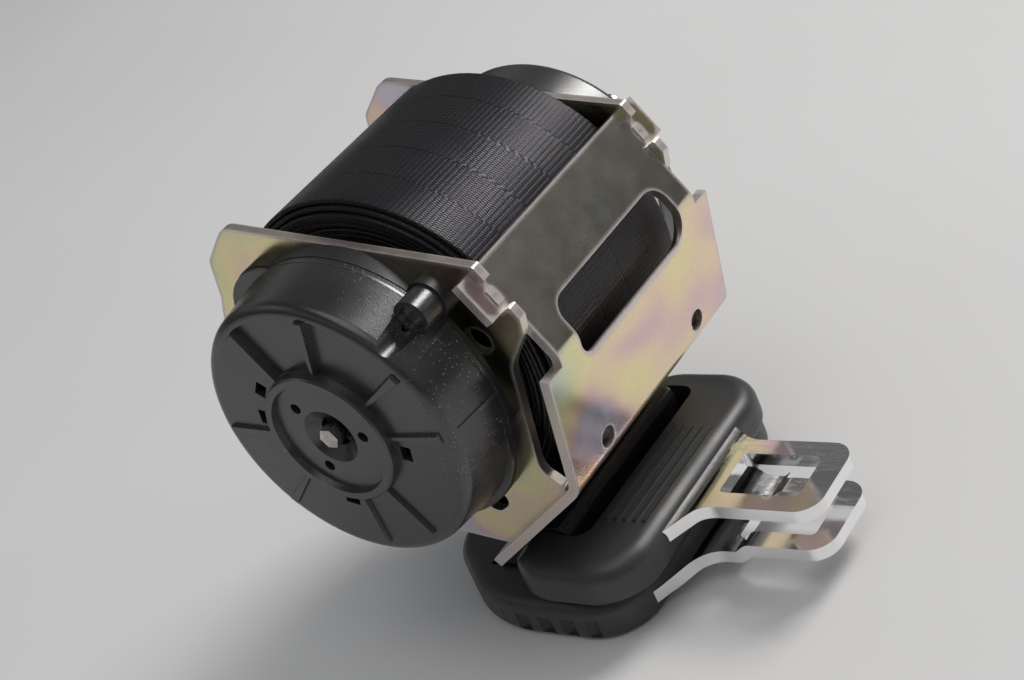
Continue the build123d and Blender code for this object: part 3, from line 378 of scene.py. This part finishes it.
tree, shader, belt_black = new_material(
    "belt_weave", Specular_IOR_Level=0.4, Specular_Tint=(0.95, 0.90, 1.0, 1.0))
place = add_node(tree, "Attribute", attribute_name="belt_place").outputs["Vector"]
apart = add_node(tree, "SeparateXYZ", {"Vector": place}).outputs
from_selvedge = maths(tree, "ADD", apart["Y"], belt_width / 2)
panel = maths(tree, "DIVIDE", from_selvedge, panel_width)
flipped = maths(tree, "MODULO", maths(tree, "FLOOR", panel), 2.0)
ribs_along = maths(tree, "DIVIDE", apart["X"], weft_pitch)
weft = maths(tree, "ADD", ribs_along, maths(tree, "MULTIPLY", flipped, 0.5))
share = maths(tree, "FRACT", weft)
leaning = maths(tree, "ABSOLUTE", maths(tree, "SUBTRACT", share, flipped))
rib_turn = maths(tree, "MULTIPLY", maths(tree, "POWER", leaning, 0.6), math.pi)
rib = maths(tree, "SINE", rib_turn)
stagger = maths(tree, "MULTIPLY", maths(tree, "MODULO", maths(tree, "FLOOR", weft), 2.0), 0.5)
warp = maths(tree, "ADD", maths(tree, "DIVIDE", apart["Y"], warp_pitch), stagger)
thread = maths(tree, "ABSOLUTE", maths(tree, "SINE", maths(tree, "MULTIPLY", warp, math.pi)))
rib_part = maths(tree, "MULTIPLY", rib, 0.42)
woven = maths(tree, "ADD", rib_part, maths(tree, "MULTIPLY", thread, 0.58))
across_panel = maths(tree, "FRACT", panel)
off_middle = maths(tree, "ABSOLUTE", maths(tree, "SUBTRACT", across_panel, 0.5))
seam = range_of(tree, off_middle, 0.470, 0.488, 0.0, 1.0)
fuzz = noise(tree, 3.0, 4.0, place)
drift = noise(tree, 70.0, 2.0)
specks = use_group(tree, dust_group, "Mask", Scale=1300.0, Amount=0.2)
# Darker where the weave lies low: painted shade in the hollows between threads.
threads_with_painted_shade = blend_colours(tree, woven, (0.001, 0.001, 0.0012), (0.015, 0.0142, 0.0165))
seam_part = maths(tree, "MULTIPLY", seam, 0.8)
seamed = blend_colours(tree, seam_part, threads_with_painted_shade, (0.002, 0.002, 0.002))
fuzzy = maths(tree, "ADD", woven, maths(tree, "MULTIPLY", fuzz, 0.2))
height = maths(tree, "SUBTRACT", fuzzy, maths(tree, "MULTIPLY", seam, 0.5))
feed(tree, shader,
     Base_Color=blend_colours(tree, specks, seamed, (0.22, 0.215, 0.21)),
     Roughness=range_of(tree, drift, 0.3, 0.7, 0.28, 0.38),
     Normal=bump(tree, height, 0.00008))
print("made", belt_black.name)

# %% [markdown]
# ## Finishes on the rigid parts
# The record says which material slot each solid takes. The same table gives each slot its
# Blender finish, so a part that is added to the model is dressed with no new line here.

# %% Dress the solids
finishes = {
    "zinc_steel": zinc, "plain_steel": steel, "chrome_plate": chrome,
    "cover_plastic": cover_black, "black_plastic": inner_black, "grip_plastic": grip_black,
    "white_plastic": acetal, "webbing": belt_black,
}
for part in frame["record"]["subparts"]:
    solid = frame["nodes"][part["node"]]
    solid.data.materials.clear()
    solid.data.materials.append(finishes[part["material_slot"]])
print("dressed", len(frame["nodes"]), "solids")

# %% [markdown]
# ## Strap as a profile carried along a path
# A strap is one flat section, rounded at its two selvedges, carried along a line. The line
# lies in the plane across the spool, so each of its points needs only a place, the direction
# away from the strap's face, and a small sideways shift. Extruding a rectangle would give
# knife edges and no weave place. A grid of points gives both, and it stays light.

# %% Strap helpers
belt_thick = 1.16
selvedge = 0.55
selvedge_points, flat_points = 7, 9


def to_model(points):
    """Millimetres about the spool axis to the model's metres: over a thousand, plus the axis."""
    return points / 1000.0 + spool_axis


def strap_section():
    """Return (across, up) round the section: a flat of full width less the selvedges, closed at
    each side by half an ellipse of the selvedge's width and the strap's half thickness."""
    bend = np.radians(np.linspace(-90, 90, selvedge_points))
    half_flat = belt_width / 2 - selvedge
    right = np.stack([half_flat + selvedge * np.cos(bend), belt_thick / 2 * np.sin(bend)], 1)
    flat = np.linspace(1, -1, flat_points + 2)[1:-1] * half_flat
    top = np.stack([flat, np.full(flat_points, belt_thick / 2)], 1)
    return np.concatenate([right, top, -right, -top])


def strap_mesh(name, places, outward, shift):
    """Carry the section along a line of (y, z) places. A point is the place, plus up times the
    outward direction, with across plus the shift as x. Neighbours on the grid make quads, and
    one face closes each end."""
    section = strap_section()
    rows, around = len(places), len(section)
    grid = np.empty((rows, around, 3))
    grid[:, :, 0] = section[None, :, 0] + shift[:, None]
    grid[:, :, 1:] = places[:, None, :] + section[None, :, 1, None] * outward[:, None, :]
    steps = np.linalg.norm(np.diff(places, axis=0), axis=1)
    along = np.concatenate([[0], np.cumsum(steps)])
    row, column = np.meshgrid(np.arange(rows - 1), np.arange(around), indexing="ij")
    here, beside = row * around + column, row * around + (column + 1) % around
    quads = np.stack([here, beside, beside + around, here + around], -1)
    first_end = [list(range(around))[::-1]]
    last_end = [list(range((rows - 1) * around, rows * around))]
    mesh = bpy.data.meshes.new(name)
    points = to_model(grid.reshape(-1, 3))
    mesh.from_pydata(points.tolist(), [], quads.reshape(-1, 4).tolist() + first_end + last_end)
    weave = np.zeros((rows, around, 3), np.float32)
    weave[:, :, 0] = along[:, None]
    weave[:, :, 1] = section[None, :, 0]
    weave[:, :, 2] = section[None, :, 1]
    belt_place = mesh.attributes.new("belt_place", "FLOAT_VECTOR", "POINT")
    belt_place.data.foreach_set("vector", weave.ravel())
    mesh.shade_smooth()
    if signed_volume(mesh) < 0:
        mesh.flip_normals()
    mesh.materials.append(belt_black)
    piece = bpy.data.objects.new(name, mesh)
    bpy.context.scene.collection.objects.link(piece)
    return piece


def signed_volume(mesh):
    """Sum each triangle's corners as a determinant over six: positive where faces look out."""
    mesh.calc_loop_triangles()
    corners = np.empty(len(mesh.loop_triangles) * 3, np.int32)
    mesh.loop_triangles.foreach_get("vertices", corners)
    places = np.empty(len(mesh.vertices) * 3)
    mesh.vertices.foreach_get("co", places)
    triangles = places.reshape(-1, 3)[corners.reshape(-1, 3)]
    crossed = np.cross(triangles[:, 1], triangles[:, 2])
    return float(np.einsum("ij,ij->i", triangles[:, 0], crossed).sum() / 6)


print("section of", len(strap_section()), "points")

# %% [markdown]
# ## The wound roll
# About twenty turns lie on the core. The line is a spiral: going back from where the strap
# leaves, the radius falls each turn by a little more than the strap's thickness. A stack of
# rings would be simpler, but the outer end would not meet the free strap. Each turn sits a
# little to one side of the last, and the outermost ones most of all.

# %% Wound roll
leave_angle = -61.28
outer_radius = 37.1
inner_radius = 12.6
turn_pitch = 1.2
points_per_turn = 96
side_spread = 0.22
outermost_sides = (1.0, 0.85, -0.75, -0.3)

turns = (outer_radius - inner_radius) / turn_pitch
wound = np.linspace(0, turns, int(turns * points_per_turn))
angle = np.radians(leave_angle + 360 * wound)
radius = outer_radius - turn_pitch * wound
outward = np.stack([np.cos(angle), np.sin(angle)], 1)
random = np.random.default_rng(11)
knots = random.normal(0, side_spread, int(turns) + 3)
knots[:len(outermost_sides)] = outermost_sides
shift = np.interp(wound, np.arange(len(knots)), knots) + 0.10 * np.sin(angle * 1.7)
roll = strap_mesh("webbing_wound_roll", radius[:, None] * outward, outward, shift)
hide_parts("webbing_roll")
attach(roll, "spool")
print("roll of", round(turns, 1), "turns and", len(roll.data.polygons), "faces")

# %% [markdown]
# ## The free strap
# The strap leaves the roll, bends round the bracket's lip, passes over the sliding tongue's
# slot bar, and runs under the grip into the end tongue. A tight bend in webbing is still a
# round one. A route of corners with a radius at each gives straight runs joined by arcs,
# which is how a taut strap lies.

# %% Free strap
route_step = 0.35


def rounded_route(corners, radii):
    """Return places and outward directions along straight runs joined by arcs. An arc's centre
    is on the corner's bisector, and its ends are radius times the half turn's tangent away."""
    corners = [np.array(corner, float) for corner in corners]
    pieces, last = [], corners[0]
    for before, corner, after, radius in zip(corners, corners[1:], corners[2:], radii):
        into = (corner - before) / np.linalg.norm(corner - before)
        out = (after - corner) / np.linalg.norm(after - corner)
        turn = math.atan2(into[0] * out[1] - into[1] * out[0], into @ out)
        reach = radius * math.tan(abs(turn) / 2)
        side = np.array([-into[1], into[0]]) * math.copysign(1, turn)
        first = corner - into * reach
        centre = first + side * radius
        sweep = np.linspace(0, turn, max(6, int(abs(turn) * radius / route_step)))
        arm = first - centre
        cosine, sine = np.cos(sweep), np.sin(sweep)
        arc = centre + np.stack([
            arm[0] * cosine - arm[1] * sine, arm[0] * sine + arm[1] * cosine], 1)
        run = max(2, int(np.linalg.norm(first - last) / route_step))
        straight = last + (first - last) * np.linspace(0, 1, run, endpoint=False)[:, None]
        pieces += [straight, arc[:-1]]
        last = arc[-1]
    run = max(2, int(np.linalg.norm(corners[-1] - last) / route_step))
    pieces.append(last + (corners[-1] - last) * np.linspace(0, 1, run)[:, None])
    places = np.concatenate(pieces)
    ahead = np.gradient(places, axis=0)
    ahead /= np.linalg.norm(ahead, axis=1)[:, None]
    return places, np.stack([-ahead[:, 1], ahead[:, 0]], 1)


bar_y, slot_middle = -21.25, -47.65
over_bar, tail_height = -42.45, -52.85
end_slit_y = 2.0

lead_places, lead_outward = rounded_route(
    [(17.83, -32.54), (-8.57, -47.0), (-14.97, over_bar), (bar_y, over_bar),
     (bar_y, slot_middle)],
    [1.9, 0.9, 3.0])
lead_shift = np.linspace(shift[0], 0.0, len(lead_places))
lead = strap_mesh("webbing_lead_strap", lead_places, lead_outward, lead_shift)
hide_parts("webbing_lead")
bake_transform(lead)

tail_places, tail_outward = rounded_route(
    [(bar_y, slot_middle), (bar_y, tail_height), (end_slit_y, tail_height),
     (end_slit_y, -60.9)],
    [3.0, 3.0])
tail = strap_mesh("webbing_tail_strap", tail_places, tail_outward, np.zeros(len(tail_places)))
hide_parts("webbing_tail")
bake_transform(tail)
print("lead", len(lead.data.polygons), "tail", len(tail.data.polygons), "faces")

# %% [markdown]
# ## Table and light
# The object stands on a pale round table. The key light comes from the right, a weak fill
# from above on the left, and a faint one from behind. Bright metal shows what is round it,
# and here that is a dim room, so a curtain with a ceiling, which only reflections see,
# stands at the table's edge. It glows, dark near the table, with a brighter band about a
# metre up and dim again above: a painted reflection of the room. The two tongue plates are
# close to mirrors, and would throw the key light onto the bracket, so the key leaves them
# out. The pale background is the world's own colour for what the camera and the reflections
# see.

# %% Table, curtain and lights
def flat_piece(name, points, material):
    """Return a stage object of one face."""
    mesh = bpy.data.meshes.new(name)
    mesh.from_pydata(points, [], [tuple(range(len(points)))])
    mesh.materials.append(material)
    made = bpy.data.objects.new(name, mesh)
    bpy.context.scene.collection.objects.link(made)
    return made


curtain_radius, curtain_height, curtain_sides = 2.0, 2.6, 48
table_share = 0.995

tree, shader, table_white = new_material("table_white", Roughness=0.55)
mottled = blend_colours(tree, noise(tree, 9.0, 5.0), (0.635, 0.62, 0.61), (0.675, 0.66, 0.65))
feed(tree, shader, Base_Color=mottled)
round_angle = np.radians(np.linspace(0, 360, curtain_sides + 1)[:-1])
ring = curtain_radius * np.stack([np.cos(round_angle), np.sin(round_angle)], 1)
low = np.concatenate([ring, np.zeros((curtain_sides, 1))], 1)
flat_piece("table", (table_share * low).tolist(), table_white)

tree, shader, curtain_glow = new_material("curtain_glow")
height = add_node(tree, "SeparateXYZ", {"Vector": place_on_piece(tree)}).outputs["Z"]
# The glow rises to a bright band about a metre up and dims above: a painted reflection of a room.
glow = colour_steps(tree, range_of(tree, height, 0.0, curtain_height, 0.0, 1.0), [
    (0.0, (0.020, 0.019, 0.019)), (1.0, (0.04, 0.04, 0.042)), (0.19, (0.06, 0.058, 0.058)),
    (0.39, (0.33, 0.33, 0.33)), (0.54, (0.11, 0.11, 0.11))])
reflected_room_glow = add_node(tree, "Emission", {"Color": glow})
tree.links.new(reflected_room_glow.outputs[0], tree.nodes["Material Output"].inputs["Surface"])
high = np.concatenate([ring, np.full((curtain_sides, 1), curtain_height)], 1)
order = np.arange(curtain_sides)
beside = (order + 1) % curtain_sides
walls = np.stack([order, beside, beside + curtain_sides, order + curtain_sides], 1)
ceiling = [list(range(curtain_sides, 2 * curtain_sides))]
mesh = bpy.data.meshes.new("curtain")
mesh.from_pydata(np.concatenate([low, high]).tolist(), [], walls.tolist() + ceiling)
mesh.materials.append(curtain_glow)
curtain = bpy.data.objects.new("curtain", mesh)
bpy.context.scene.collection.objects.link(curtain)
curtain.visible_camera = curtain.visible_diffuse = curtain.visible_shadow = False


def soft_light(name, place, aim, width, power, colour=(1.0, 1.0, 1.0)):
    """Return a square soft light at a place, turned to face a point."""
    made = bpy.data.objects.new(name, bpy.data.lights.new(name, "AREA"))
    made.data.size = width
    made.data.energy = power
    made.data.color = colour
    made.location = place
    made.rotation_euler = (Vector(aim) - Vector(place)).to_track_quat("-Z", "Y").to_euler()
    bpy.context.scene.collection.objects.link(made)
    return made


aim = (0.0, 0.0, 0.05)
key_light = soft_light("light_right", (1.03, -0.46, 1.16), aim, 0.6, 16.5, (1.0, 0.99, 0.97))
soft_light("light_above", (-0.35, -0.30, 1.50), aim, 1.1, 4.5)
soft_light("light_back", (-0.68, 0.96, 0.92), aim, 0.4, 0.3)
unlit = bpy.data.collections.new("mirrors_without_key")
for name in ("sliding_tongue_plate", "end_tongue_plate"):
    unlit.objects.link(frame["nodes"][name])
for member in unlit.collection_objects:
    member.light_linking.link_state = "EXCLUDE"
key_light.light_linking.receiver_collection = unlit

world = bpy.data.worlds.new("room")
bpy.context.scene.world = world
world.use_nodes = True
tree = world.node_tree
lit = tree.nodes["Background"]
lit.inputs["Color"].default_value = (0.9, 0.95, 1.0, 1.0)
lit.inputs["Strength"].default_value = 0.38
seen = add_node(tree, "Background", {"Color": (0.66, 0.64, 0.63, 1.0), "Strength": 1.0})
path = add_node(tree, "LightPath").outputs
mirrored = maths(tree, "MAXIMUM", path["Is Glossy Ray"], path["Is Transmission Ray"])
direct = maths(tree, "MAXIMUM", path["Is Camera Ray"], mirrored)
both = add_node(tree, "MixShader", {0: direct, 1: lit.outputs[0], 2: seen.outputs[0]})
tree.links.new(both.outputs[0], tree.nodes["World Output"].inputs["Surface"])
bpy.context.scene.view_settings.view_transform = "Standard"
